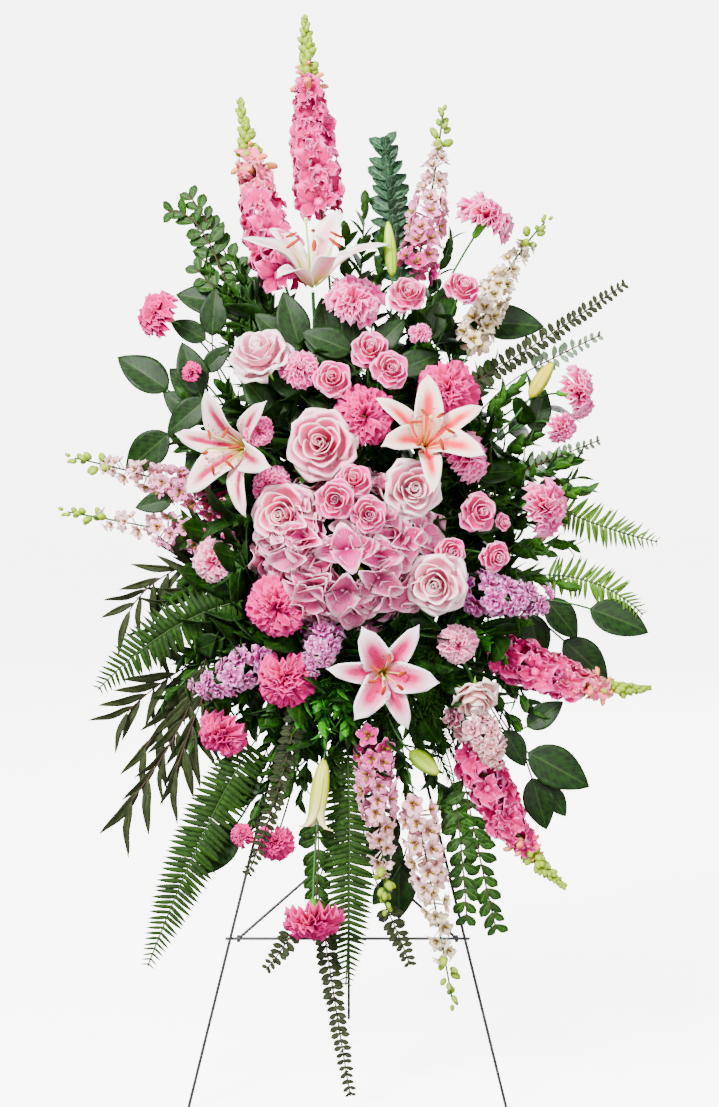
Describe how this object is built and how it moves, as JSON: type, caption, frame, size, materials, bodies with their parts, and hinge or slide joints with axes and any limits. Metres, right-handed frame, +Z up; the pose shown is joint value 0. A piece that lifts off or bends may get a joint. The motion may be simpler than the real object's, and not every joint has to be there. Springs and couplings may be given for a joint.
{
  "type": "standing funeral spray",
  "caption": "Standing funeral spray: pink roses, carnations, lilies, snapdragons, larkspur, stock, hydrangea and foliage in floral foam on a folding wire easel.",
  "frame": {"origin": "on the floor, under the middle of the whole spray", "axes": "+Z up, the front of the spray faces -Y, +X to the right of someone who looks at its front"},
  "size_m": [0.7878, 0.5486, 1.447],
  "materials": {
    "wire": "satin",
    "plastic": "matte",
    "foam": "matte",
    "pale_pink_petals": "matte",
    "pink_petals": "matte",
    "hot_pink_petals": "matte",
    "blush_petals": "matte",
    "lilac_petals": "matte",
    "mauve_petals": "matte",
    "lily_petals": "satin",
    "lily_buds": "satin",
    "dark_leaves": "matte",
    "broad_leaves": "satin",
    "light_leaves": "matte",
    "grey_leaves": "matte"
  },
  "bodies": {
    "easel_and_flowers": {"front_leg_left": "wire", "front_leg_right": "wire", "crossbar": "wire", "hinge_pin": "wire", "roses_left": "pale_pink_petals", "roses_right": "pale_pink_petals", "rose_upper_left": "pale_pink_petals", "rose_low": "pale_pink_petals", "spray_roses_centre": "pink_petals", "spray_roses_top": "pink_petals", "spray_roses_right": "pink_petals", "spray_roses_high": "pink_petals", "carnations_upper": "pink_petals", "carnations_left": "pink_petals", "carnations_mid_right": "pink_petals", "carnation_top": "pink_petals", "carnation_high_right": "pink_petals", "carnation_pale_left": "pink_petals", "carnation_pale_right": "pink_petals", "carnation_low_left": "pink_petals", "carnations_far_left": "pink_petals", "carnations_right": "pink_petals", "carnations_low": "pink_petals", "mini_carnations": "pink_petals", "snapdragon_top": "hot_pink_petals", "snapdragon_upper_left": "hot_pink_petals", "snapdragon_right": "hot_pink_petals", "snapdragon_low_right": "hot_pink_petals", "larkspur_top": "blush_petals", "larkspur_left": "blush_petals", "larkspur_low": "blush_petals", "stock_left": "lilac_petals", "stock_right": "lilac_petals", "hydrangea": "mauve_petals", "lily_top": "lily_petals", "lily_left": "lily_petals", "lily_right": "lily_petals", "lily_low": "lily_petals", "lily_buds_top": "lily_buds", "lily_buds_low": "lily_buds", "salal_left": "broad_leaves", "salal_top": "broad_leaves", "salal_right": "broad_leaves", "salal_low": "broad_leaves", "fern_left": "dark_leaves", "fern_low_left": "dark_leaves", "fern_low": "dark_leaves", "willow_left": "dark_leaves", "myrtle_top": "dark_leaves", "myrtle_left": "dark_leaves", "myrtle_low": "dark_leaves", "ferns_right": "light_leaves", "asparagus_low": "light_leaves", "eucalyptus_right": "grey_leaves", "eucalyptus_low": "grey_leaves", "foam_holder": "plastic", "foam_block": "foam"},
    "rear_leg": {"rear_leg": "wire"},
    "stay": {"stay_left": "wire", "stay_right": "wire"}
  },
  "joints": [
    {"name": "leg_fold", "type": "hinge", "parent": "easel_and_flowers", "child": "rear_leg", "pos_m": [-0.01988, 0.01723, 0.82], "axis": [1, 0, 0], "range_deg": [-28, 0]},
    {"name": "stay_fold", "type": "hinge", "parent": "easel_and_flowers", "child": "stay", "pos_m": [-0.01988, -0.11882, 0.21702], "axis": [1, 0, 0], "range_deg": [0, 62]}
  ],
  "couplings": [
    {"joint": "stay_fold", "follows": "leg_fold", "ratio": -2.178}
  ]
}
